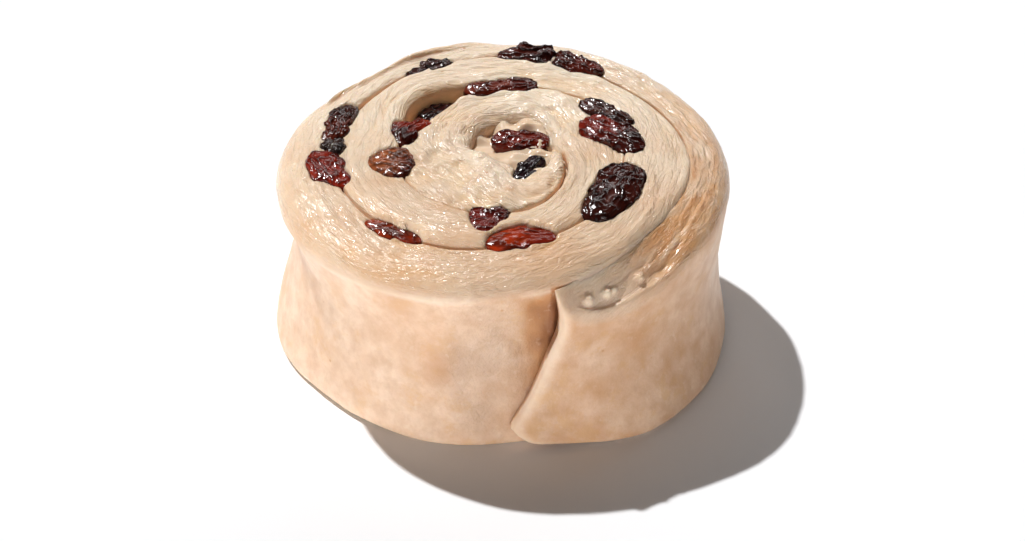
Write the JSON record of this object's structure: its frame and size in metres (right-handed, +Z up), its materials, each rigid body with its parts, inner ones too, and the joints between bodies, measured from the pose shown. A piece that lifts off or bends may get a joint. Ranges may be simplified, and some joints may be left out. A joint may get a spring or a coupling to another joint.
{
  "type": "unbaked raisin roll",
  "caption": "Unbaked spiral pastry of laminated dough wound round custard and raisins, standing on its cut face with the loose end at the front.",
  "frame": {"origin": "middle of the base plane that the roll stands on, under the middle of its box", "axes": "+Z up, -Y towards the front, where the loose end of the dough is"},
  "size_m": [0.0804, 0.0787, 0.0387],
  "materials": {
    "dough": "satin, cream, finely ridged on the cut face",
    "custard": "glossy, pale yellow",
    "raisin": "glossy, dark brown-red, wrinkled"
  },
  "bodies": {
    "root": {"dough": "dough", "custard": "custard", "raisin_01": "raisin", "raisin_02": "raisin", "raisin_03": "raisin", "raisin_04": "raisin", "raisin_05": "raisin", "raisin_06": "raisin", "raisin_07": "raisin", "raisin_08": "raisin", "raisin_09": "raisin", "raisin_10": "raisin", "raisin_11": "raisin", "raisin_12": "raisin", "raisin_13": "raisin", "raisin_14": "raisin", "raisin_15": "raisin", "raisin_16": "raisin", "raisin_17": "raisin", "raisin_18": "raisin", "base_raisin_1": "raisin", "base_raisin_2": "raisin", "base_raisin_3": "raisin", "base_raisin_4": "raisin", "base_raisin_5": "raisin"}
  },
  "joints": []
}
